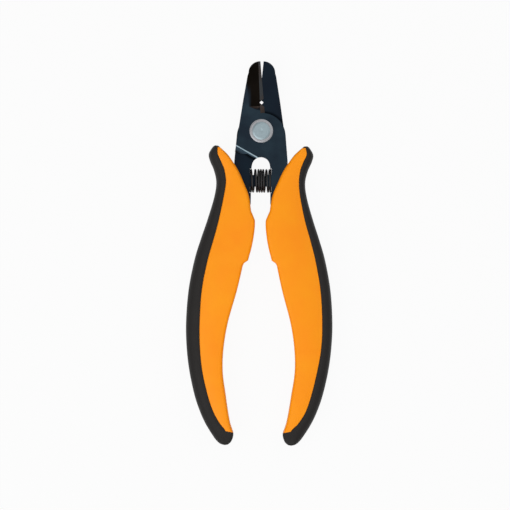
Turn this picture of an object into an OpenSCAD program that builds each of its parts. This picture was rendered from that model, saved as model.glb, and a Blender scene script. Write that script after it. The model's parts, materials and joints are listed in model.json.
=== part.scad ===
// Fibre stripper: two stacked steel blades turn on a riveted pivot. Each blade
// runs from one jaw, past the pivot, to a tang on the other side, and carries a
// handle moulded on that tang: a hard core with a soft grip along its outer edge.
// A coil spring between the tangs pushes the handles apart.
// Frame: X across the tool, +Y from the handle ends to the jaw tips, +Z up from
// the face it rests on, origin under the middle. Millimetres and degrees.
// Modules draw about the pivot, with the plane between the blades at z = 0.

/* [Overall] */
// Length over all, from the handle ends to the jaw tips
overall_length = 145; // [141:0.5:149]
// Thickness of the handles from front face to back face
handle_thickness = 11; // [10:0.5:13]

/* [Blades] */
// Thickness of each blade
blade_thickness = 3; // [2.6:0.1:3.2]
// Gap between the two blades
blade_gap = 0.05; // [0.02:0.01:0.1]
// Distance from the pivot up to the jaw tips
jaw_reach = 26.4; // [26:0.1:27]
// Distance from the middle line to the cutting edge at the tip, at rest
tip_opening = 0.6; // [0.4:0.1:0.8]
// Distance from the pivot up to where the cutting edges cross, at rest
edge_crossing = 20; // [18:0.5:22]
// Radius of the blade around the pivot
boss_radius = 8.7; // [8.5:0.1:8.9]
// Distance of that radius' centre below the pivot
boss_drop = 2; // [1.8:0.1:2.2]
// Distance of that radius' centre from the middle line, towards the tang
boss_offset = 0.5; // [0.3:0.1:0.6]
// Radius of the arch between the tangs
arch_radius = 3.4; // [3:0.1:3.6]
// Distance of the arch's centre below the pivot
arch_drop = 13.3; // [13:0.1:13.8]
// Clear width from the middle line to a tang's inner edge
tang_offset = 3.5; // [3.4:0.1:3.7]
// Radius of the tang's round end inside the handle
tang_end_radius = 2.3; // [2:0.1:2.4]
// Radius of the two holes that lock the tang in its handle
lock_radius = 1.8; // [1.4:0.1:2]

/* [Cutting edges] */
// Angle that the tool closes by before its stop pads meet
closing_angle = 6.2; // [6:0.1:6.4]
// Width of the flat bevel at its lower end
bevel_width = 1.6; // [1.4:0.1:1.8]
// Width of the flat bevel at the jaw tip
bevel_tip_width = 0.8; // [0.6:0.1:1]
// Slope of the flat bevel against the blade's face
bevel_angle = 37; // [34:1:40]
// Blade thickness left at the cutting edge
edge_land = 0.25; // [0.2:0.05:0.5]
// Width of the hollow grind beside the bevel
grind_width = 4.1; // [3.6:0.1:4.4]
// Radius of the wheel that grinds the hollow
wheel_radius = 13; // [11:0.5:16]
// Distance from the pivot up to the lower end of the hollow grind
grind_start = 7.6; // [7.4:0.1:8]
// Length over which the hollow grind fades out at that end
grind_fade = 1.8; // [1.2:0.1:2.4]
// Distance from the pivot up to the stripping notch
notch_height = 10.8; // [10:0.1:12]
// Width of the notch's opening when the tool is closed
closed_opening = 0.18; // [0.12:0.01:0.25]
// Angle between the notch's flanks
notch_angle = 84; // [80:1:100]
// Radius of the notch's point
notch_radius = 0.25; // [0.15:0.05:0.3]
// Slope of the groove filed behind the notch
groove_angle = 45; // [40:1:50]
// Slope of the relief ground along the heel
relief_angle = 30; // [26:1:34]
// Width of the narrow facet that breaks the relief's upper edge
facet_width = 0.45; // [0.3:0.05:0.6]
// Slope of that facet
facet_angle = 20; // [16:1:24]

/* [Pivot] */
// Diameter of the rivet's shank
rivet_diameter = 5; // [4:0.1:5.4]
// Clearance around the shank in each bore
pivot_clearance = 0.05; // [0.03:0.01:0.1]
// Diameter of the washers
washer_diameter = 8.85; // [8:0.05:9.2]
// Thickness of each washer
washer_thickness = 0.6; // [0.5:0.05:0.7]
// Width of the sloping rim around each washer
washer_rim = 0.5; // [0.3:0.05:0.7]
// Diameter of the rivet's heads
head_diameter = 6.7; // [6.2:0.1:7.4]
// Height of each rivet head
head_height = 0.95; // [0.8:0.05:1.1]
// Width of the sloping rim around each rivet head
head_rim = 0.6; // [0.4:0.05:0.7]
// Radius of the dimple in each rivet head
dimple_radius = 0.9; // [0.7:0.05:1.1]

/* [Spring] */
// Outside diameter of the return spring
spring_diameter = 9; // [8.6:0.1:9.2]
// Diameter of the spring's wire
spring_wire = 0.75; // [0.6:0.05:0.75]
// Number of turns in the spring's middle group
middle_turns = 4; // [2:1:4]
// Gap between neighbouring turns of one group
turn_gap = 0.16; // [0.1:0.01:0.2]
// Distance of the spring's axis below the pivot
spring_drop = 18.8; // [18.6:0.1:19]
// Depth of the spring's seat in each tang's edge
seat_depth = 0.6; // [0.5:0.05:0.65]
// Length of the peg that holds each spring end
peg_length = 2.2; // [1.6:0.1:2.4]
// Height of that peg
peg_height = 4.4; // [4:0.1:5]
// Clearance at each end of the spring
spring_clearance = 0.05; // [0.02:0.01:0.1]

/* [Handles] */
// Rounding of the core's inner edges
edge_radius = 1.3; // [0.8:0.1:1.8]
// Thickness of the soft grip over the core's tongue
grip_wall = 1.8; // [1.4:0.1:2.2]
// How far the tongue reaches into the grip, as a share of the grip's width
tongue_share = 0.5; // [0.4:0.05:0.6]
// Chamfer on the tongue's edges
tongue_chamfer = 0.5; // [0.3:0.1:0.7]
// Squareness of the grip's round outer edge: 2 is an ellipse
grip_squareness = 2.6; // [2:0.1:3.2]

/* [Hidden] */

smooth = 64; // facets of each round
handle_reach = overall_length - jaw_reach;
half = handle_thickness / 2;
pivot_y = (handle_reach - jaw_reach) / 2;
blade_face = blade_gap / 2 + blade_thickness;

// Sideways position of the right-hand blade edge of the front blade at height y
edge_slope = tip_opening / (jaw_reach - edge_crossing);
function edge_x(y) = (edge_crossing - y) * edge_slope;

// Depth of the notch past the middle line at rest, from its opening when closed
notch_reach = notch_height * tan(closing_angle / 2) + closed_opening / 2;

// The heel, below the left jaw, is cut straight and then relieved on its face
heel = [[-12, -7.25], [-1.2, -10.9]];
relief = [[-9.7, -5.2], [-1.5, -9.75]];

// Corner points of the jaw's outer side, from the round tip down to the heel
tip_radius = 4.45;
jaw_side = [[-5.05, 21.9], [-5.42, 20.7], [-7.03, 11], [-9.95, -8.6]];

// Corner points of the tang, down its inner side and back up its outer side
tang_inner = [[tang_offset + 0.18, -24], [tang_offset + 0.2, -27.3], [4.4, -32.5], [7.85, -46.1]];
tang_end = [10.1, -45.5];
tang_outer = [[12.37, -45.2], [10.5, -28], [10.06, -11.2], [9.16, -1]];
lock_holes = [[7.2, -31], [9.2, -39]];

// Handle rows from the knob to the toe, in percent of the handle's reach. Each
// row holds [out, down] of the outer edge, the front seam, the back seam and the
// inner edge. The core runs from core_first to core_last, the grip over all.
rows = [
    [[14.8, 4.8], [14.5, 4.78], [14.5, 4.78], [13.7, 4.85]],
    [[15.5, 5.35], [14.2, 5.35], [13.85, 5.35], [13.05, 5.35]],
    [[16.65, 7.5], [14.5, 7.5], [13.75, 7.5], [10.7, 7.5]],
    [[16.2, 9.8], [13.5, 9.8], [12.7, 9.8], [9, 9.8]],
    [[14.95, 12.7], [12.5, 12.7], [11.55, 12.7], [7.15, 12.7]],
    [[14.17, 16.5], [12.15, 16.5], [11.05, 16.5], [5.4, 16.5]],
    [[14.8, 21.3], [12.65, 21.3], [11.75, 21.3], [3.6, 21.3]],
    [[16.88, 28.5], [14.19, 28.5], [13.2, 28.5], [2.86, 28.5]],
    [[18.9, 34.6], [15.95, 34.6], [14.75, 34.6], [3.6, 34.6]],
    [[20.87, 41.3], [17.7, 41.3], [16.6, 41.3], [5.08, 41.3]],
    [[22.63, 50.8], [19.4, 50.8], [18.35, 50.8], [7.2, 50.8]],
    [[23.33, 61], [20.03, 61], [18.93, 61], [9.97, 61]],
    [[23.05, 69.2], [19.75, 69.2], [18.75, 69.2], [11.27, 69.2]],
    [[22.1, 76.7], [18.5, 76.7], [17.9, 76.7], [11.48, 76.7]],
    [[20.4, 84.3], [16.7, 84.3], [16.1, 84.3], [10.43, 84.3]],
    [[18.65, 89.4], [14.95, 89.4], [14.3, 89.4], [9.65, 89.4]],
    [[16.95, 93.1], [12.6, 93.1], [12.2, 93.1], [8.9, 93.2]],
    [[15.4, 95.7], [10.4, 95.5], [10.4, 95.5], [7.97, 96]],
    [[13.6, 98.3], [11, 97.8], [11, 97.8], [7.95, 97.4]],
    [[12.2, 99.6], [11, 99.5], [11, 99.5], [8.6, 99]],
    [[10.9, 100], [10.4, 100], [10.4, 100], [9.6, 99.85]],
];
core_first = 1;
core_last = 17;
steps = 2; // stations to each row

// Stop pad on the core's inner edge: [down, height] in percent of the reach
pad = [[25.4, 0], [28.5, 1.15], [34.6, 1.4], [38, 1.42], [41.3, 1.28], [42.3, 0], [100, 0]];

// ---- Handle sections ----

function point(row, column) =
    let (p = rows[max(0, min(len(rows) - 1, row))][column]) [p[0], -p[1]];

// A smooth curve through one column of the rows, at station k
function curve(k, column) =
    let (row = floor(k / steps), t = k / steps - row,
         a = point(row - 1, column), b = point(row, column),
         c = point(row + 1, column), d = point(row + 2, column))
    handle_reach / 200 * (2 * b + (c - a) * t + (2 * a - 5 * b + 4 * c - d) * t * t
        + (3 * b - a - 3 * c + d) * t * t * t);

function pad_height(y) = lookup(-100 * y / handle_reach, pad) * handle_reach / 100;

function outer(k) = curve(k, 0);
function front_seam(k) = curve(k, 1);
function back_seam(k) = curve(k, 2);
function inner(k) = let (p = curve(k, 3)) p - [pad_height(p[1]), 0];

// A point a share t of the way from p to q, at height z
function between(p, q, t, z) = [p[0] + t * (q[0] - p[0]), p[1] + t * (q[1] - p[1]), z];

// One side of a section's skin, from the inner edge's middle to the outer edge's
core_arc = [0, 30, 60, 90];
grip_arc = [75, 55, 35, 15];
function core_side(k, seam, side) =
    let (width = norm(seam - inner(k)), r = min(edge_radius, 0.4 * width))
    [for (a = core_arc)
        between(inner(k), seam, r * (1 - sin(a)) / width, side * (half - r * (1 - cos(a))))];
function grip_side(k, seam, side) =
    [for (a = grip_arc)
        between(seam, outer(k), pow(cos(a), 2 / grip_squareness),
                side * half * pow(sin(a), 2 / grip_squareness))];

// Names of the places in a section's ring of points
arc_count = len(core_arc);
front_at = arc_count + 1;
outer_at = front_at + len(grip_arc) + 1;
back_at = outer_at + len(grip_arc) + 1;
ring_count = back_at + arc_count + 1;

function reversed(list) = [for (i = [len(list) - 1:-1:0]) list[i]];

// The ring of points around station k, from the inner edge's middle, over the
// front face to the outer edge, and back under the back face
function ring(k) = concat(
    [between(inner(k), outer(k), 0, 0)],
    reversed(core_side(k, front_seam(k), 1)),
    [between(front_seam(k), outer(k), 0, half)],
    grip_side(k, front_seam(k), 1),
    [between(outer(k), inner(k), 0, 0)],
    reversed(grip_side(k, back_seam(k), -1)),
    [between(back_seam(k), outer(k), 0, -half)],
    core_side(k, back_seam(k), -1));

// The core's tongue under the grip at station k, from the front seam to the back
tongue_count = 6;
function tongue(k) =
    let (front = front_seam(k), back = back_seam(k), out = outer(k),
         end = between(front, out, tongue_share, 0),
         level = half - grip_wall, corner = tongue_chamfer / norm(out - front))
    [between(front, out, 0, level),
     between(front, out, tongue_share - corner, level),
     [end[0], end[1], level - tongue_chamfer],
     [end[0], end[1], tongue_chamfer - level],
     between(front, out, tongue_share - corner, -level),
     between(back, out, 0, -level)];

last = (len(rows) - 1) * steps;
core_start = core_first * steps;
core_end = core_last * steps;
handle_points = concat([for (k = [0:last]) each ring(k)], [for (k = [0:last]) each tongue(k)]);

function at(k, i) = k * ring_count + i % ring_count;
tongue_base = (last + 1) * ring_count;

// The seam line and the tongue as one path: front seam, tongue, back seam
function bond(k, i) = i == 0 ? at(k, front_at)
    : i <= tongue_count ? tongue_base + k * tongue_count + i - 1
    : at(k, back_at);

// Two triangles for the square between stations k and k + 1, places i and i + 1
function skin(k, i) = [[at(k, i), at(k, i + 1), at(k + 1, i + 1)],
                       [at(k, i), at(k + 1, i + 1), at(k + 1, i)]];
function bond_skin(k, i) = [[bond(k, i), bond(k, i + 1), bond(k + 1, i + 1)],
                            [bond(k, i), bond(k + 1, i + 1), bond(k + 1, i)]];
function skins(from, to, first, last_place) =
    [for (k = [from:to - 1], i = [first:last_place - 1]) each skin(k, i)];
bond_skins = [for (k = [core_start:core_end - 1], i = [0:tongue_count]) each bond_skin(k, i)];

// The core's outline at one of its ends, and a whole section of the handle
function core_outline(k) = concat([for (i = [0:front_at]) at(k, i)],
    [for (i = [1:tongue_count]) bond(k, i)], [for (i = [back_at:ring_count - 1]) at(k, i)]);
function whole_outline(k) = [for (i = [0:ring_count - 1]) at(k, i)];
// The same faces seen from their other side, each from the same first point
function flip(f) = [f[0], for (i = [len(f) - 1:-1:1]) f[i]];
function flipped(faces) = [for (f = faces) flip(f)];

core_faces = concat(
    skins(core_start, core_end, 0, front_at), skins(core_start, core_end, back_at, ring_count),
    bond_skins, [flip(core_outline(core_start))], [core_outline(core_end)]);
grip_faces = concat(
    skins(0, last, front_at, back_at), flipped(bond_skins),
    skins(0, core_start, 0, front_at), skins(0, core_start, back_at, ring_count),
    skins(core_end, last, 0, front_at), skins(core_end, last, back_at, ring_count),
    [core_outline(core_start)], [flip(core_outline(core_end))],
    [flip(whole_outline(0))], [whole_outline(last)]);

// ---- Shapes about the pivot ----

module tang() {
    polygon(concat([[0, -9], [tang_offset, -arch_drop]], tang_inner, [tang_end], tang_outer, [[0, -1]]));
    translate(tang_end) circle(tang_end_radius, $fn = smooth);
}

module jaw() {
    tip = [edge_x(jaw_reach), jaw_reach];
    polygon(concat([[edge_x(0), 0], tip], jaw_side, [[0, -9]]));
    intersection() {
        translate(tip - [0, tip_radius]) circle(tip_radius, $fn = 2 * smooth);
        polygon([[edge_x(15), 15], tip, [-10, jaw_reach], [-10, 15]]);
    }
}

// Outline of the blade whose jaw is on the left and whose tang is on the right
module blade_outline() {
    seat_height = spring_diameter + 0.2;
    difference() {
        union() {
            difference() {
                union() {
                    jaw();
                    translate([boss_offset, -boss_drop]) circle(boss_radius, $fn = smooth);
                    tang();
                }
                translate([0, -arch_drop]) circle(arch_radius, $fn = smooth);
                polygon(concat(heel, [[heel[1][0], -14], [heel[0][0], -14]]));
                translate([tang_offset + seat_depth - 5, -spring_drop - seat_height / 2])
                    square([5, seat_height]);
            }
            translate([tang_offset + seat_depth - peg_length, -spring_drop - peg_height / 2])
                square([peg_length + 1, peg_height]);
        }
        circle(rivet_diameter / 2 + pivot_clearance, $fn = smooth);
        for (p = lock_holes) translate(p) circle(lock_radius, $fn = smooth);
        translate([-notch_reach, notch_height]) notch_outline();
    }
}

// Opening of the stripping notch, with its round point touching the origin
module notch_outline() {
    flank = notch_angle / 2;
    depth = 4;
    spread = (depth - notch_radius + notch_radius / sin(flank)) * tan(flank);
    arc = [for (i = [0:8]) 90 + flank + i * (90 - flank) / 4];
    polygon(concat([[depth, -spread], [depth, spread]],
                   [for (a = arc) [notch_radius * (1 + cos(a)), notch_radius * sin(a)]]));
}

// What the grinding takes off one face along the cutting edge: the flat bevel
// and, beside it, a wheel's hollow that fades out at its lower end
module grind() {
    run = 30;
    rise = tan(bevel_angle);
    bevel_start = 0.75;
    translate([edge_x(grind_start), grind_start, 0]) rotate([0, 0, atan(edge_slope)])
        rotate([-90, 0, 0]) translate([0, 0, -bevel_start]) linear_extrude(run)
            polygon([[0, -edge_land], [-bevel_width, -edge_land - rise * bevel_width],
                     [-bevel_width, -10], [3, -10], [3, -edge_land]]);
    // The hollow starts on the bevel's inner border, which runs closer to the
    // cutting edge towards the tip
    taper = (bevel_width - bevel_tip_width) / (jaw_reach - grind_start);
    border = [edge_x(grind_start) - bevel_width, grind_start, edge_land + rise * bevel_width];
    depth = blade_thickness - border[2];
    chord = norm([grind_width, depth]);
    reach = sqrt(wheel_radius * wheel_radius - chord * chord / 4) / chord;
    axis = [reach * depth - grind_width / 2, reach * grind_width + depth / 2];
    translate(border) rotate([-atan(rise * taper), 0, atan(edge_slope - taper)])
        translate([axis[0], 0, axis[1]]) rotate([-90, 0, 0]) {
            cylinder(r1 = norm([axis[0], axis[1] - depth]), r2 = wheel_radius, h = grind_fade, $fn = smooth);
            translate([0, 0, grind_fade]) cylinder(r = wheel_radius, h = run, $fn = smooth);
        }
}

// The sloping relief along the heel, with a narrow facet along its upper edge
module heel_relief() {
    direction = relief[1] - relief[0];
    deep = 8;
    translate([relief[0][0], relief[0][1], blade_thickness])
        rotate([0, 0, atan2(direction[1], direction[0])]) translate([-5, 0, 0]) {
            run = norm(direction) + 6;
            rotate([facet_angle, 0, 0]) translate([0, -deep, 0]) cube([run, deep, deep]);
            translate([0, -facet_width * cos(facet_angle), -facet_width * sin(facet_angle)])
                rotate([relief_angle, 0, 0]) translate([0, -deep, 0]) cube([run, deep, deep]);
        }
}

// The groove filed behind the notch from the blade's outer face
module notch_groove() {
    translate([-notch_reach, notch_height, edge_land])
        rotate([0, groove_angle, 0]) rotate([45, 0, 0]) translate([-6, 0, 0]) cube([10, 5, 5]);
}

// A blade with its shear face at z = 0 and its ground face up
module blade() {
    difference() {
        linear_extrude(blade_thickness) blade_outline();
        grind();
        heel_relief();
        notch_groove();
    }
}

// The same piece turned over about the Y axis
module turned() {
    rotate([0, 180, 0]) children();
}

module handle_core() {
    difference() {
        polyhedron(handle_points, core_faces);
        translate([0, 0, blade_gap / 2]) linear_extrude(blade_thickness) difference() {
            tang();
            for (p = lock_holes) translate(p) circle(lock_radius, $fn = smooth);
        }
    }
}

module washer() {
    radius = washer_diameter / 2;
    bore = rivet_diameter / 2 + pivot_clearance;
    translate([0, 0, blade_face]) rotate_extrude($fn = smooth)
        polygon([[bore, 0], [radius, 0], [radius, 0.6 * washer_thickness],
                 [radius - washer_rim, washer_thickness], [bore, washer_thickness]]);
}

module rivet_half() {
    base = blade_face + washer_thickness;
    top = base + head_height;
    radius = head_diameter / 2;
    rotate_extrude($fn = smooth)
        polygon([[0, 0], [rivet_diameter / 2, 0], [rivet_diameter / 2, base], [radius, base],
                 [radius, base + 0.75 * head_height], [radius - head_rim, top],
                 [dimple_radius, top], [0, top - 0.15 * dimple_radius]]);
}

// ---- Pieces in the part's frame ----

module placed() {
    translate([0, pivot_y, half]) children();
}

module front_blade() {
    color("#232d35") placed() translate([0, 0, blade_gap / 2]) blade();
}

module rear_blade() {
    color("#232d35") placed() turned() translate([0, 0, blade_gap / 2]) blade();
}

module pivot_rivet() {
    color("#a5aeb8") placed() {
        rivet_half();
        turned() rivet_half();
    }
}

module front_washer() {
    color("#b4bac0") placed() washer();
}

module rear_washer() {
    color("#b4bac0") placed() turned() washer();
}

// The coil's turns stand close together in three groups, of two turns at either
// end and the middle ones between them. Half a turn at each end lies flat on its seat
module return_spring() {
    wire_radius = spring_wire / 2;
    coil_radius = spring_diameter / 2 - wire_radius;
    travel = 2 * (tang_offset + seat_depth - spring_clearance) - spring_wire;
    close = spring_wire + turn_gap;
    wide = (travel - (middle_turns + 1) * close) / 2;
    turns = middle_turns + 3.5;
    places = [[0, 0], [0.5, 0], [1, close], [2, close + wide],
              [turns - 2.5, travel - close - wide], [turns - 1.5, travel - close],
              [turns - 0.5, travel], [turns, travel]];
    sides = 6;
    per_turn = 20;
    count = turns * per_turn;
    function wire(i) = let (turn = 180 + 360 * i / per_turn, x = lookup(i / per_turn, places))
        [for (s = [0:sides - 1]) let (r = coil_radius + wire_radius * cos(360 * s / sides))
            [x - travel / 2 + wire_radius * sin(360 * s / sides), r * cos(turn), r * sin(turn)]];
    points = [for (i = [0:count]) each wire(i)];
    faces = concat(
        [for (i = [0:count - 1], s = [0:sides - 1])
            let (a = i * sides + s, b = i * sides + (s + 1) % sides)
            each [[a, a + sides, b + sides], [a, b + sides, b]]],
        [[for (s = [0:sides - 1]) s]],
        [[for (s = [0:sides - 1]) count * sides + sides - 1 - s]]);
    color("#141414") placed() translate([0, -spring_drop, 0]) polyhedron(points, faces);
}

module right_core() {
    color("#ff961c") placed() handle_core();
}

module right_grip() {
    color("#2b2a2c") placed() polyhedron(handle_points, grip_faces);
}

module left_core() {
    color("#ff961c") placed() turned() handle_core();
}

module left_grip() {
    color("#2b2a2c") placed() turned() polyhedron(handle_points, grip_faces);
}

front_blade();
rear_blade();
pivot_rivet();
front_washer();
rear_washer();
return_spring();
right_core();
right_grip();
left_core();
left_grip();
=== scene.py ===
"""Looks of a fibre stripper: finishes for its blades, rivet, washers and spring,
and smooth two-shot handles. Lengths are metres, in the part's frame: +Y from the
handle ends to the jaw tips, +Z up from the face it rests on."""
import json
import math

import bmesh
import bpy
import numpy as np
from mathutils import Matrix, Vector


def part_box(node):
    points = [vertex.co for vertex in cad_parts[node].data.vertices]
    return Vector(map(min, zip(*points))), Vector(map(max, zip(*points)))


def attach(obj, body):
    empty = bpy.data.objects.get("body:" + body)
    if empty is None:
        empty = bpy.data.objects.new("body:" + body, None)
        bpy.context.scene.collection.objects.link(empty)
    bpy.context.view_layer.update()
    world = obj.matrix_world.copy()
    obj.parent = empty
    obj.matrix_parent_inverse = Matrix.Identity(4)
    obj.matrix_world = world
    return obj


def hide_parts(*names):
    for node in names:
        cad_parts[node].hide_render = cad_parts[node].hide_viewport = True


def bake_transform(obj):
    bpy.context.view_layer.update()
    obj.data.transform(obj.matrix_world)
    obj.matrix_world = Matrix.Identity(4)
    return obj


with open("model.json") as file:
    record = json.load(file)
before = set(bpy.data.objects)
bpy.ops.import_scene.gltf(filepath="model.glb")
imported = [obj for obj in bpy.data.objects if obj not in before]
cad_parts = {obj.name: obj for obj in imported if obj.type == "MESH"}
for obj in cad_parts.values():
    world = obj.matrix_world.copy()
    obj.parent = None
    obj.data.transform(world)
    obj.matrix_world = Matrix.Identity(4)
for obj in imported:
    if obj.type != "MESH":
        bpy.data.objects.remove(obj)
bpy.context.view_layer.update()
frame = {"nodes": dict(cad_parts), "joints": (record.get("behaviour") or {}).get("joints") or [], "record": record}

MM = 0.001
PIVOT = Vector(frame["joints"][0]["pos_m"])
HALF = PIVOT.z                                  # half the handles' thickness
REACH = PIVOT.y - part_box("right_grip")[0].y     # from the pivot to the handle ends
BODY = {node: body for body, nodes in frame["record"]["behaviour"]["bodies"].items()
        for node in nodes}


# ---------------------------------------------------------------- helpers

def linear(colour):
    """An sRGB hex colour as linear red, green, blue and alpha."""
    parts = [int(colour[i:i + 2], 16) / 255 for i in (1, 3, 5)]
    return [c / 12.92 if c <= 0.04045 else ((c + 0.055) / 1.055) ** 2.4 for c in parts] + [1.0]


def add(tree, kind, inputs=None, **settings):
    """Adds a node, with its settings, and each input set to a value or linked to a socket."""
    node = tree.nodes.new(kind)
    for name, value in settings.items():
        setattr(node, name, value)
    for name, value in (inputs or {}).items():
        if isinstance(value, bpy.types.NodeSocket):
            tree.links.new(value, node.inputs[name])
        else:
            node.inputs[name].default_value = value
    return node


def new_material(name):
    material = bpy.data.materials.new(name)
    material.use_nodes = True
    material.node_tree.nodes.clear()
    return material, material.node_tree


def finish_material(tree, shader):
    add(tree, "ShaderNodeOutputMaterial", {"Surface": shader.outputs[0]})


def mesh_piece(name, points, faces, materials):
    mesh = bpy.data.meshes.new(name)
    mesh.from_pydata([tuple(p) for p in points], [], faces)
    mesh.validate()
    piece = bpy.data.objects.new(name, mesh)
    bpy.context.scene.collection.objects.link(piece)
    for material in materials:
        mesh.materials.append(material)
    return piece


def smooth(piece, angle=35):
    """Smooth shading, with edges steeper than the angle kept sharp."""
    mesh = piece.data
    mesh.shade_smooth()
    mesh.set_sharp_from_angle(angle=math.radians(angle))


def outward(piece, merge=1e-6):
    """Merges doubles and turns every face outwards."""
    work = bmesh.new()
    work.from_mesh(piece.data)
    bmesh.ops.remove_doubles(work, verts=work.verts, dist=merge)
    bmesh.ops.recalc_face_normals(work, faces=work.faces)
    work.to_mesh(piece.data)
    work.free()


# -------------------------------------------------------------- materials

def moulded_orange():
    """Injection-moulded ABS: even, saturated, with a soft gloss and faint flow clouds."""
    material, tree = new_material("moulded_orange_abs")
    place = add(tree, "ShaderNodeTexCoord").outputs["Object"]
    clouds = add(tree, "ShaderNodeTexNoise", {"Vector": place, "Scale": 90.0, "Detail": 3.0})
    tint = add(tree, "ShaderNodeMix", {"Factor": clouds.outputs["Fac"],
               6: linear("#FF8C00"), 7: linear("#FFA000")}, data_type="RGBA")
    grain = add(tree, "ShaderNodeTexNoise", {"Vector": place, "Scale": 2600.0, "Detail": 2.0})
    bump = add(tree, "ShaderNodeBump", {"Height": grain.outputs["Fac"],
               "Strength": 0.12, "Distance": 0.02 * MM})
    shader = add(tree, "ShaderNodeBsdfPrincipled", {"Base Color": tint.outputs[2],
                 "Roughness": 0.42, "Specular IOR Level": 0.2, "Normal": bump.outputs[0]})
    finish_material(tree, shader)
    return material


def soft_black_grip():
    """Thermoplastic elastomer, spark-eroded mould: matt, near black, fine pebble grain."""
    material, tree = new_material("soft_black_elastomer")
    place = add(tree, "ShaderNodeTexCoord").outputs["Object"]
    pebble = add(tree, "ShaderNodeTexNoise", {"Vector": place, "Scale": 3500.0, "Detail": 2.0})
    patches = add(tree, "ShaderNodeTexNoise", {"Vector": place, "Scale": 160.0, "Detail": 3.0})
    rough = add(tree, "ShaderNodeMapRange", {"Value": patches.outputs["Fac"],
                "To Min": 0.5, "To Max": 0.66})
    bump = add(tree, "ShaderNodeBump", {"Height": pebble.outputs["Fac"],
               "Strength": 0.35, "Distance": 0.04 * MM})
    shader = add(tree, "ShaderNodeBsdfPrincipled", {"Base Color": linear("#1E1C1B"),
                 "Roughness": rough.outputs[0], "Specular IOR Level": 0.15,
                 "Normal": bump.outputs[0]})
    finish_material(tree, shader)
    return material


# Distances from the pivot between which the hollow grind's painted dark reflection fades
# out: out to its border, down to its foot, and down from where that border begins.
FADE_BORDER = (3.7 * MM, 4.9 * MM)
FADE_FOOT = (9.6 * MM, 7.4 * MM)
FADE_REACH = (18 * MM, 12 * MM)
STEP_SHADE_RIM = (8.9 * MM, 10.2 * MM)  # from the boss's centre, where the painted shade along its step ends


def blued_steel(name, colour, other, roughness, run=(1.0, 1.0), fade=None, boss=None):
    """Ground tool steel under a blue-black oxide: dark glossy metal, clouded between two
    tints, with fine grinding lines. run stretches them: the larger number is across.
    fade is the tint that the painted dark reflection runs into at the hollow grind's outer
    border and lower end, and boss is the other blade's boss, whose step gets a rim of painted shade."""
    material, tree = new_material(name)
    place = add(tree, "ShaderNodeTexCoord").outputs["Object"]
    stretched = add(tree, "ShaderNodeMapping", {"Vector": place, "Scale": (run[0], run[1], 1.0)})
    lines = add(tree, "ShaderNodeTexNoise", {"Vector": stretched.outputs[0],
                "Scale": 900.0, "Detail": 4.0, "Roughness": 0.6})
    clouds = add(tree, "ShaderNodeTexNoise", {"Vector": place, "Scale": 120.0, "Detail": 2.0})
    contrast = add(tree, "ShaderNodeMapRange", {"Value": clouds.outputs["Fac"],
                   "From Min": 0.38, "From Max": 0.62})
    tint = add(tree, "ShaderNodeMix", {"Factor": contrast.outputs[0],
               6: linear(colour), 7: linear(other)}, data_type="RGBA").outputs[2]
    about_pivot = add(tree, "ShaderNodeVectorMath", {0: place, 1: tuple(PIVOT)},
                      operation="SUBTRACT")
    # The painted dark reflection fades into the fade tint towards the grind's border and foot.
    if fade:
        axes = add(tree, "ShaderNodeSeparateXYZ", {0: about_pivot.outputs[0]}).outputs
        out = add(tree, "ShaderNodeMath", {0: axes[0]}, operation="ABSOLUTE")
        border, foot, reach = (
            add(tree, "ShaderNodeMapRange", {"Value": value, "From Min": low, "From Max": high},
                interpolation_type="SMOOTHSTEP").outputs[0]
            for value, (low, high) in ((out.outputs[0], FADE_BORDER), (axes[1], FADE_FOOT),
                                       (axes[1], FADE_REACH)))
        side = add(tree, "ShaderNodeMath", {0: border, 1: reach}, operation="MULTIPLY")
        amount = add(tree, "ShaderNodeMath", {0: side.outputs[0], 1: foot},
                     operation="MAXIMUM")
        tint = add(tree, "ShaderNodeMix", {"Factor": amount.outputs[0], 6: tint,
                   7: linear(fade)}, data_type="RGBA").outputs[2]
    # Painted shade: a near-black rim on the face around the other blade's boss, where its step would shade it.
    if boss:
        from_boss = add(tree, "ShaderNodeVectorMath", {0: about_pivot.outputs[0], 1: boss},
                        operation="SUBTRACT")
        radius = add(tree, "ShaderNodeVectorMath", {0: from_boss.outputs[0]}, operation="LENGTH")
        painted_step_shade = add(tree, "ShaderNodeMapRange", {"Value": radius.outputs["Value"],
                  "From Min": STEP_SHADE_RIM[0], "From Max": STEP_SHADE_RIM[1], "To Min": 0.2, "To Max": 1.0},
                  interpolation_type="SMOOTHSTEP")
        tint = add(tree, "ShaderNodeMix", {"Factor": painted_step_shade.outputs[0], 6: linear("#030406"),
                   7: tint}, data_type="RGBA").outputs[2]
    rough = add(tree, "ShaderNodeMapRange", {"Value": lines.outputs["Fac"],
                "To Min": roughness - 0.06, "To Max": roughness + 0.08})
    bump = add(tree, "ShaderNodeBump", {"Height": lines.outputs["Fac"],
               "Strength": 0.08, "Distance": 0.01 * MM})
    shader = add(tree, "ShaderNodeBsdfPrincipled", {"Base Color": tint, "Metallic": 1.0,
                 "Roughness": rough.outputs[0], "Normal": bump.outputs[0]})
    finish_material(tree, shader)
    return material


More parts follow.
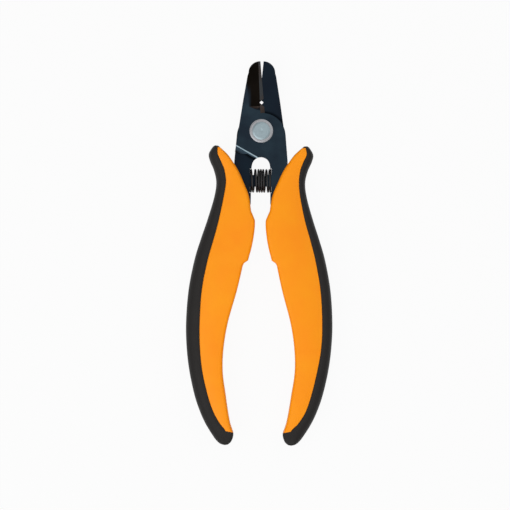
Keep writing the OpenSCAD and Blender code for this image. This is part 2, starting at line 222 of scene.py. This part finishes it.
def turned_steel(name, colour, ring_width, roughness):
    """Bright turned steel: rings around the pivot from the lathe tool."""
    material, tree = new_material(name)
    place = add(tree, "ShaderNodeTexCoord").outputs["Object"]
    centred = add(tree, "ShaderNodeMapping", {"Vector": place,
                  "Location": (-PIVOT.x, -PIVOT.y, 0.0), "Scale": (1.0, 1.0, 0.0)})
    rings = add(tree, "ShaderNodeTexWave", {"Vector": centred.outputs[0],
                "Scale": 0.314 / ring_width, "Distortion": 0.6, "Detail": 1.0},
                wave_type="RINGS", rings_direction="Z", wave_profile="SIN")
    bump = add(tree, "ShaderNodeBump", {"Height": rings.outputs["Fac"],
               "Strength": 0.25, "Distance": 0.03 * MM})
    shader = add(tree, "ShaderNodeBsdfPrincipled", {"Base Color": linear(colour), "Metallic": 1.0,
                 "Roughness": roughness, "Normal": bump.outputs[0]})
    finish_material(tree, shader)
    return material


def oxided_wire():
    """Drawn spring wire, black oxide and oiled: near black with a sharp narrow shine."""
    material, tree = new_material("oxided_spring_wire")
    place = add(tree, "ShaderNodeTexCoord").outputs["Object"]
    grime = add(tree, "ShaderNodeTexNoise", {"Vector": place, "Scale": 700.0, "Detail": 3.0})
    rough = add(tree, "ShaderNodeMapRange", {"Value": grime.outputs["Fac"],
                "To Min": 0.28, "To Max": 0.5})
    shader = add(tree, "ShaderNodeBsdfPrincipled", {"Base Color": linear("#2A2A2B"),
                 "Metallic": 0.9, "Roughness": rough.outputs[0]})
    finish_material(tree, shader)
    return material


ORANGE = moulded_orange()
BLACK = soft_black_grip()
BLUED = blued_steel("blued_ground_steel", "#1A222A", "#1F2A32", 0.24, run=(6.0, 0.5))
# Both shear faces carry painted shade: a near-black rim along the other blade's boss step.
SHEAR_PAINTED_SHADE = {up: blued_steel(f"blued_shear_face_painted_step_shade_{side}", "#131921", "#141C24", 0.24,
                         run=(6.0, 0.5), boss=(-up * 0.5 * MM, -2 * MM, 0))
         for up, side in ((1, "front"), (-1, "rear"))}
# Painted reflection: the hollow grind's near-black colour stands in for the dark room its tilted faces mirror.
HOLLOW_DARK_REFLECTION = blued_steel("hollow_grind_painted_dark_reflection", "#100D0A", "#0A0806", 0.45, run=(0.5, 6.0),
                     fade="#1A222A")
BEVEL = blued_steel("bare_ground_bevel", "#393B3D", "#3C3430", 0.4, run=(0.5, 6.0))
GROOVE = blued_steel("filed_notch_groove", "#362D29", "#2B2522", 0.4, run=(6.0, 0.5))
# Partly painted highlight: the heel's real facet mirrors the key lamp, and its bright colour is painted on to
# strengthen that highlight.
FACET_PAINTED_HIGHLIGHT = blued_steel("heel_facet_painted_highlight", "#6E7C82", "#56636A", 0.3, run=(0.5, 6.0))
RIVET = turned_steel("turned_rivet_steel", "#7A878C", 0.9 * MM, 0.42)
WASHER = turned_steel("turned_washer_steel", "#88898C", 0.45 * MM, 0.46)
WIRE = oxided_wire()


# ---------------------------------------------------------------- handles

# Handle rows from the knob to the toe, in percent of the handles' reach. Each row
# holds [out, down] of the outer edge, front seam, back seam and inner edge.
ROWS = [
    [[14.8, 4.8], [14.5, 4.78], [14.5, 4.78], [13.7, 4.85]],
    [[15.5, 5.35], [14.2, 5.35], [13.85, 5.35], [13.05, 5.35]],
    [[16.65, 7.5], [14.5, 7.5], [13.75, 7.5], [10.7, 7.5]],
    [[16.2, 9.8], [13.5, 9.8], [12.7, 9.8], [9, 9.8]],
    [[14.95, 12.7], [12.5, 12.7], [11.55, 12.7], [7.15, 12.7]],
    [[14.17, 16.5], [12.15, 16.5], [11.05, 16.5], [5.4, 16.5]],
    [[14.8, 21.3], [12.65, 21.3], [11.75, 21.3], [3.6, 21.3]],
    [[16.88, 28.5], [14.19, 28.5], [13.2, 28.5], [2.86, 28.5]],
    [[18.9, 34.6], [15.95, 34.6], [14.75, 34.6], [3.6, 34.6]],
    [[20.87, 41.3], [17.7, 41.3], [16.6, 41.3], [5.08, 41.3]],
    [[22.63, 50.8], [19.4, 50.8], [18.35, 50.8], [7.2, 50.8]],
    [[23.33, 61], [20.03, 61], [18.93, 61], [9.97, 61]],
    [[23.05, 69.2], [19.75, 69.2], [18.75, 69.2], [11.27, 69.2]],
    [[22.1, 76.7], [18.5, 76.7], [17.9, 76.7], [11.48, 76.7]],
    [[20.4, 84.3], [16.7, 84.3], [16.1, 84.3], [10.43, 84.3]],
    [[18.65, 89.4], [14.95, 89.4], [14.3, 89.4], [9.65, 89.4]],
    [[16.95, 93.1], [12.6, 93.1], [12.2, 93.1], [8.9, 93.2]],
    [[15.4, 95.7], [10.4, 95.5], [10.4, 95.5], [7.97, 96]],
    [[13.6, 98.3], [11, 97.8], [11, 97.8], [7.95, 97.4]],
    [[12.2, 99.6], [11, 99.5], [11, 99.5], [8.6, 99]],
    [[10.9, 100], [10.4, 100], [10.4, 100], [9.6, 99.85]],
]
CORE_FIRST, CORE_LAST = 1, 17
STEPS = 10                       # stations to each row
PAD = ([25.4, 28.5, 34.6, 38, 41.3, 42.3], [0, 1.15, 1.4, 1.42, 1.28, 0])
EDGE_RADIUS = 1.3 * MM           # rounding of the core's inner edges
SEAM = 0.22 * MM                 # rounding of both mouldings where they meet
END_RADIUS = 1.4 * MM            # rounding of the grip's two ends
GRIP_WALL = 1.8 * MM             # soft grip over the core's tongue
TONGUE_SHARE = 0.5
SQUARENESS = 2.6                 # of the grip's outer edge: 2 is an ellipse


def curve(k, column):
    """The smooth curve through one column of the rows, at station k, about the pivot."""
    row, t = divmod(k, STEPS)
    t /= STEPS
    a, b, c, d = (np.array(ROWS[max(0, min(len(ROWS) - 1, row + i))][column], float)
                  for i in (-1, 0, 1, 2))
    point = 0.5 * (2 * b + (c - a) * t + (2 * a - 5 * b + 4 * c - d) * t ** 2
                   + (3 * b - a - 3 * c + d) * t ** 3)
    if column == 3:
        point[0] -= np.interp(point[1], *PAD)
    return point * (0.01 * REACH, -0.01 * REACH)


def half_height(k, last):
    """Half the thickness at station k: less within END_RADIUS of either end."""
    gap = min(abs(curve(k, 0)[1] - curve(0, 0)[1]), abs(curve(k, 0)[1] - curve(last, 0)[1]))
    short = max(0.0, 1 - gap / END_RADIUS)
    return HALF - END_RADIUS * (1 - math.sqrt(1 - short ** 2)) * 0.9


def side_of_ring(k, column, side, high, grooved):
    """Points from the core's inner edge over one face to the grip's outer edge."""
    inner, seam, outer = curve(k, 3), curve(k, column), curve(k, 0)
    width, strip = np.linalg.norm(seam - inner), np.linalg.norm(outer - seam)
    radius = min(EDGE_RADIUS, 0.4 * width)
    lip = min(SEAM, 0.2 * width, 0.2 * strip)
    depth = SEAM if grooved else 0.0
    points = []
    for a in np.linspace(90, 0, 9):
        u = radius * (1 - math.sin(math.radians(a))) / width
        z = high - radius * (1 - math.cos(math.radians(a)))
        points.append((*(inner + u * (seam - inner)), side * z))
    points += [(*(seam + share * lip * (inner - seam) / width), side * (high - drop * depth))
               for share, drop in ((1, 0), (0.35, 0.3), (0, 1))]
    points += [(*(seam + share * lip * (outer - seam) / strip), side * (high - drop * depth))
               for share, drop in ((0.35, 0.3), (1, 0))]
    start = lip / strip
    for a in np.linspace(80, 8, 14):
        u = math.cos(math.radians(a)) ** (2 / SQUARENESS)
        z = math.sin(math.radians(a)) ** (2 / SQUARENESS) * high
        points.append((*(seam + (start + (1 - start) * u) * (outer - seam)), side * z))
    return points


SIDE_COUNT = 9 + 3 + 2 + 14      # points on one face's side of a ring
SEAM_PLACE = 9 + 3               # place of the front seam's bottom in a ring


def ring(k, last, grooved):
    high = half_height(k, last)
    front = side_of_ring(k, 1, 1, high, grooved)
    back = side_of_ring(k, 2, -1, high, grooved)
    return [(*curve(k, 3), 0.0)] + front + [(*curve(k, 0), 0.0)] + back[::-1]


def tongue(k):
    """The core's tongue under the grip, from the front seam to the back seam."""
    front, back, outer = curve(k, 1), curve(k, 2), curve(k, 0)
    end = front + TONGUE_SHARE * (outer - front)
    level, chamfer = HALF - GRIP_WALL, 0.5 * MM
    inward = (front - end) / np.linalg.norm(front - end) * chamfer
    return [(*front, level), (*(end + inward), level), (*end, level - chamfer),
            (*end, chamfer - level), (*(end + inward), -level), (*back, -level)]


def handle(side, turn):
    """The core and grip of one handle, as two pieces. turn is 1 on the right, and -1
    turns the same pair over about the tool's length."""
    last = (len(ROWS) - 1) * STEPS
    start, end = CORE_FIRST * STEPS, CORE_LAST * STEPS
    count = 2 + 2 * SIDE_COUNT
    back_seam = count - SEAM_PLACE
    tongues = (last + 1) * count
    points = [p for k in range(last + 1) for p in ring(k, last, start <= k <= end)]
    points += [p for k in range(last + 1) for p in tongue(k)]
    points = [(PIVOT.x + turn * x, PIVOT.y + y, PIVOT.z + turn * z) for x, y, z in points]

    def at(k, i):
        return k * count + i % count

    def bond(k, i):
        if i == 0:
            return at(k, SEAM_PLACE)
        return at(k, back_seam) if i == 7 else tongues + k * 6 + i - 1

    def skin(stations, places):
        return [(at(k, i), at(k, i + 1), at(k + 1, i + 1), at(k + 1, i))
                for k in range(*stations) for i in range(*places)]

    def core_outline(k):
        return ([at(k, i) for i in range(SEAM_PLACE + 1)] + [bond(k, i) for i in range(1, 7)]
                + [at(k, i) for i in range(back_seam, count)])

    bonds = [(bond(k, i), bond(k, i + 1), bond(k + 1, i + 1), bond(k + 1, i))
             for k in range(start, end) for i in range(7)]
    inner_places = ((0, SEAM_PLACE), (back_seam, count))
    core_faces = bonds + [core_outline(start)[::-1], core_outline(end)]
    grip_faces = skin((0, last), (SEAM_PLACE, back_seam)) + [b[::-1] for b in bonds]
    grip_faces += [core_outline(start), core_outline(end)[::-1]]
    for places in inner_places:
        core_faces += skin((start, end), places)
        grip_faces += skin((0, start), places) + skin((end, last), places)
    grip_faces += [[at(0, i) for i in range(count)][::-1], [at(last, i) for i in range(count)]]
    for part, faces, material, slot in (("core", core_faces, ORANGE, "orange_plastic"),
                                        ("grip", grip_faces, BLACK, "black_grip")):
        used = sorted({i for f in faces for i in f})
        index = {old: new for new, old in enumerate(used)}
        piece = mesh_piece(f"{side}_{part}_moulding", [points[i] for i in used],
                           [[index[i] for i in f] for f in faces], [material])
        outward(piece)
        smooth(piece)
        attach(piece, BODY[f"{side}_{part}"])
        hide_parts(f"{side}_{part}")


handle("right", 1)
handle("left", -1)


# ----------------------------------------------------------------- blades

BEVEL_ANGLE = math.radians(37)   # of the cutting bevel to the blade's face
FACET_ANGLE = math.radians(20)   # of the heel's facet, which mirrors the key lamp and is painted bright as a highlight
JAW_FOOT = 6.5 * MM              # above the pivot, where the jaw's ground faces begin
NOTCH_HEIGHT = 10.8 * MM         # above the pivot
NOTCH_ZONE = 2.2 * MM            # half the height in which the notch's groove lies
FLAT = 0.999                     # upward share of a normal on a flat face
EDGE_BREAK = 0.16 * MM           # width of the broken edges
PLAIN, GRIND, CUTTING, FILED, SHEARING, FACET = range(6)    # the blade's finishes


def blade(node, up):
    """The ground blade with fine broken edges. up is 1 where its outer face is on top."""
    piece = frame["nodes"][node].copy()
    piece.data = piece.data.copy()
    piece.name = node + "_ground"
    piece.parent = None
    for key in list(piece.keys()):
        if key.startswith("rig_"):
            del piece[key]
    bpy.context.scene.collection.objects.link(piece)
    mesh = piece.data
    mesh.materials.clear()
    for material in (BLUED, HOLLOW_DARK_REFLECTION, BEVEL, GROOVE, SHEAR_PAINTED_SHADE[up], FACET_PAINTED_HIGHLIGHT):    # as PLAIN to FACET
        mesh.materials.append(material)
    work = bmesh.new()
    work.from_mesh(mesh)
    bmesh.ops.remove_doubles(work, verts=work.verts, dist=1e-6)
    bmesh.ops.dissolve_limit(work, angle_limit=math.radians(0.5),
                             verts=work.verts, edges=work.edges)
    for face in work.faces:
        height = face.calc_center_median().y - PIVOT.y
        tilt = face.normal.z * up
        bevel = abs(tilt - math.cos(BEVEL_ANGLE)) < 0.005 and abs(face.normal.x) > 0.55
        if tilt < -FLAT:
            face.material_index = SHEARING
        elif abs(tilt - math.cos(FACET_ANGLE)) < 0.003 and height < 0:
            face.material_index = FACET
        elif height < JAW_FOOT or not 0.3 < tilt < FLAT:
            face.material_index = PLAIN
        elif abs(height - NOTCH_HEIGHT) < NOTCH_ZONE and abs(face.normal.y) > 0.35:
            face.material_index = FILED
        else:
            face.material_index = CUTTING if bevel else GRIND
    work.to_mesh(mesh)
    work.free()
    soften = piece.modifiers.new("broken_edges", "BEVEL")
    soften.width = EDGE_BREAK
    soften.segments = 2
    soften.limit_method = "ANGLE"
    soften.angle_limit = math.radians(40)
    smooth(piece, 20)
    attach(piece, BODY[node])
    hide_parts(node)


blade("front_blade", 1)
blade("rear_blade", -1)


# ------------------------------------------------------- rivet and washers

for node, material in (("pivot_rivet", RIVET), ("front_washer", WASHER),
                       ("rear_washer", WASHER)):
    part = frame["nodes"][node]
    part.data.materials.clear()
    part.data.materials.append(material)


# ----------------------------------------------------------------- spring

WIRE_WIDTH = 0.75 * MM
TURN_GAP = 0.16 * MM             # between turns that stand close together
SEATING = 0.19 * MM              # added to the length, so that both ends meet their seats
COIL_STATIONS = 600
MIDDLE_TURNS = 4.0


def spring_tree():
    """Geometry nodes for a coil along X in three groups of turns: two at either end
    and the middle ones, with half a turn lying flat on each seat."""
    tree = bpy.data.node_groups.new("grouped_coil", "GeometryNodeTree")
    for name, value in (("Middle Turns", MIDDLE_TURNS), ("Travel", 7.35 * MM),
                        ("Close Pitch", WIRE_WIDTH + TURN_GAP), ("Coil Radius", 4.125 * MM),
                        ("Wire Radius", WIRE_WIDTH / 2)):
        socket = tree.interface.new_socket(name, in_out="INPUT", socket_type="NodeSocketFloat")
        socket.default_value = value
    tree.interface.new_socket("Centre", in_out="INPUT", socket_type="NodeSocketVector")
    tree.interface.new_socket("Finish", in_out="INPUT", socket_type="NodeSocketMaterial")
    tree.interface.new_socket("Geometry", in_out="OUTPUT", socket_type="NodeSocketGeometry")
    given = add(tree, "NodeGroupInput").outputs

    def maths(operation, a, b=0.0):
        return add(tree, "ShaderNodeMath", {0: a, 1: b}, operation=operation).outputs[0]

    line = add(tree, "GeometryNodeMeshLine", {"Count": COIL_STATIONS})
    share = maths("DIVIDE", add(tree, "GeometryNodeInputIndex").outputs[0],
                  COIL_STATIONS - 1.0)
    middle = given["Middle Turns"]
    turns = maths("ADD", middle, 3.5)
    turn = maths("MULTIPLY", share, turns)
    close = given["Close Pitch"]
    inner = maths("MULTIPLY", maths("SUBTRACT", middle, 1.0), close)
    wide = maths("MULTIPLY", maths("SUBTRACT", maths("SUBTRACT", given["Travel"], inner),
                                   maths("MULTIPLY", close, 2.0)), 0.5)
    along = maths("MULTIPLY", given["Travel"], -0.5)
    for start, end, advance in ((0.5, 1.0, close), (1.0, 2.0, wide),
                                (2.0, maths("ADD", middle, 1.0), inner),
                                (maths("ADD", middle, 1.0), maths("ADD", middle, 2.0), wide),
                                (maths("ADD", middle, 2.0), maths("ADD", middle, 3.0), close)):
        ramp = add(tree, "ShaderNodeMapRange", {"Value": turn, "From Min": start,
                   "From Max": end, "To Max": advance}, clamp=True)
        along = maths("ADD", along, ramp.outputs[0])
    angle = maths("MULTIPLY", turn, 2 * math.pi)
    radius = maths("MULTIPLY", given["Coil Radius"], -1.0)
    helix = add(tree, "ShaderNodeCombineXYZ", {
        0: along, 1: maths("MULTIPLY", maths("COSINE", angle), radius),
        2: maths("MULTIPLY", maths("SINE", angle), radius)})
    placed = add(tree, "ShaderNodeVectorMath", {0: helix.outputs[0], 1: given["Centre"]},
                 operation="ADD")
    wound = add(tree, "GeometryNodeSetPosition", {"Geometry": line.outputs[0],
                "Position": placed.outputs[0]})
    path = add(tree, "GeometryNodeMeshToCurve", {"Mesh": wound.outputs[0]})
    section = add(tree, "GeometryNodeCurvePrimitiveCircle", {"Resolution": 16,
                  "Radius": given["Wire Radius"]})
    wire = add(tree, "GeometryNodeCurveToMesh", {"Curve": path.outputs[0],
               "Profile Curve": section.outputs[0], "Fill Caps": True})
    shaded = add(tree, "GeometryNodeSetShadeSmooth", {"Geometry": wire.outputs[0]})
    real = add(tree, "GeometryNodeRealizeInstances", {"Geometry": shaded.outputs[0]})
    dressed = add(tree, "GeometryNodeSetMaterial", {"Geometry": real.outputs[0],
                  "Material": given["Finish"]})
    add(tree, "NodeGroupOutput", {"Geometry": dressed.outputs[0]})
    return tree


def return_spring():
    """The coil, as one mesh between the two halves."""
    low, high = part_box("return_spring")
    tree = spring_tree()
    maker = bpy.data.objects.new("coil_maker", bpy.data.meshes.new("coil_maker"))
    bpy.context.scene.collection.objects.link(maker)
    modifier = maker.modifiers.new("coil", "NODES")
    modifier.node_group = tree
    values = {"Travel": high.x - low.x - WIRE_WIDTH + SEATING,
              "Close Pitch": WIRE_WIDTH + TURN_GAP,
              "Coil Radius": (high.z - low.z - WIRE_WIDTH) / 2,
              "Wire Radius": WIRE_WIDTH / 2, "Centre": (low + high) / 2, "Finish": WIRE}
    for item in tree.interface.items_tree:
        if item.in_out == "INPUT" and item.name in values:
            modifier[item.identifier] = values[item.name]
    graph = bpy.context.evaluated_depsgraph_get()
    mesh = bpy.data.meshes.new_from_object(maker.evaluated_get(graph))
    bpy.data.objects.remove(maker)
    piece = bpy.data.objects.new("return_spring_coil", mesh)
    bpy.context.scene.collection.objects.link(piece)
    outward(piece)
    smooth(piece, 50)
    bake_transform(piece)
    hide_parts("return_spring")


return_spring()


# ------------------------------------------------------- floor, light, view

FLOOR_SPAN = 3.0                 # from the middle to each side
FLOOR_DROP = 0.05 * MM           # below the handles, so that no faces lie in one plane
FLOOR_GLOW = 0.94                # share of plain white; the rest takes the shadow
ROOM_LIGHT = 0.33                # of the world on the tool, where 1 is white
CAMERA_HEIGHT = 1.6
VIEW_WIDTH = 192.78 * MM
SENSOR = 36.0                    # the lens's own measure, in millimetres


def shown(tree):
    """One for rays that meet the white background: seen, mirrored or let through."""
    ray = add(tree, "ShaderNodeLightPath")
    seen = add(tree, "ShaderNodeMath", {0: ray.outputs["Is Camera Ray"],
               1: ray.outputs["Is Glossy Ray"]}, operation="MAXIMUM")
    return add(tree, "ShaderNodeMath", {0: seen.outputs[0],
               1: ray.outputs["Is Transmission Ray"]}, operation="MAXIMUM")


def studio():
    """A white floor that keeps a faint shadow, and a plain pale world."""
    material, tree = new_material("white_floor")
    matt = add(tree, "ShaderNodeBsdfDiffuse", {"Color": linear("#C8C8C8")})
    glow = add(tree, "ShaderNodeEmission", {"Color": (1, 1, 1, 1), "Strength": 1.0})
    seen = add(tree, "ShaderNodeMath", {0: shown(tree).outputs[0], 1: FLOOR_GLOW},
               operation="MULTIPLY")
    mixed = add(tree, "ShaderNodeMixShader", {0: seen.outputs[0], 1: matt.outputs[0],
                2: glow.outputs[0]})
    finish_material(tree, mixed)
    corners = [(x * FLOOR_SPAN, y * FLOOR_SPAN, -FLOOR_DROP)
               for x, y in ((-1, -1), (1, -1), (1, 1), (-1, 1))]
    floor = mesh_piece("floor", corners, [(0, 1, 2, 3)], [material])

    world = bpy.data.worlds.new("pale_room")
    bpy.context.scene.world = world
    world.use_nodes = True
    tree = world.node_tree
    tree.nodes.clear()
    strength = add(tree, "ShaderNodeMix", {"Factor": shown(tree).outputs[0],
                   2: ROOM_LIGHT, 3: 1.0}, data_type="FLOAT")
    back = add(tree, "ShaderNodeBackground", {"Color": (1, 1, 1, 1),
               "Strength": strength.outputs[0]})
    add(tree, "ShaderNodeOutputWorld", {"Surface": back.outputs[0]})


def lamp(name, place, size, watts):
    """A square lamp that faces the tool."""
    light = bpy.data.lights.new(name, "AREA")
    light.size = size
    light.energy = watts
    lamp_object = bpy.data.objects.new(name, light)
    lamp_object.location = place
    lamp_object.rotation_euler = (-Vector(place)).to_track_quat("-Z", "Y").to_euler()
    bpy.context.scene.collection.objects.link(lamp_object)


def camera():
    """Straight above the tool, from far enough to look almost without perspective."""
    lens = bpy.data.cameras.new("camera")
    lens.sensor_width = SENSOR
    lens.lens = SENSOR * (CAMERA_HEIGHT - HALF) / VIEW_WIDTH
    lens.clip_end = 20.0
    viewer = bpy.data.objects.new("camera", lens)
    viewer.location = (-1.87 * MM, -0.75 * MM, CAMERA_HEIGHT)
    viewer.rotation_euler = (0, 0, math.radians(0.61))
    bpy.context.scene.collection.objects.link(viewer)
    bpy.context.scene.camera = viewer


studio()
lamp("key", (-0.35, -0.5, 0.75), 1.1, 7.2)
lamp("fill", (0.45, 0.5, 0.9), 1.6, 5.0)
camera()
bpy.context.scene.view_settings.view_transform = "Standard"

bpy.context.view_layer.update()
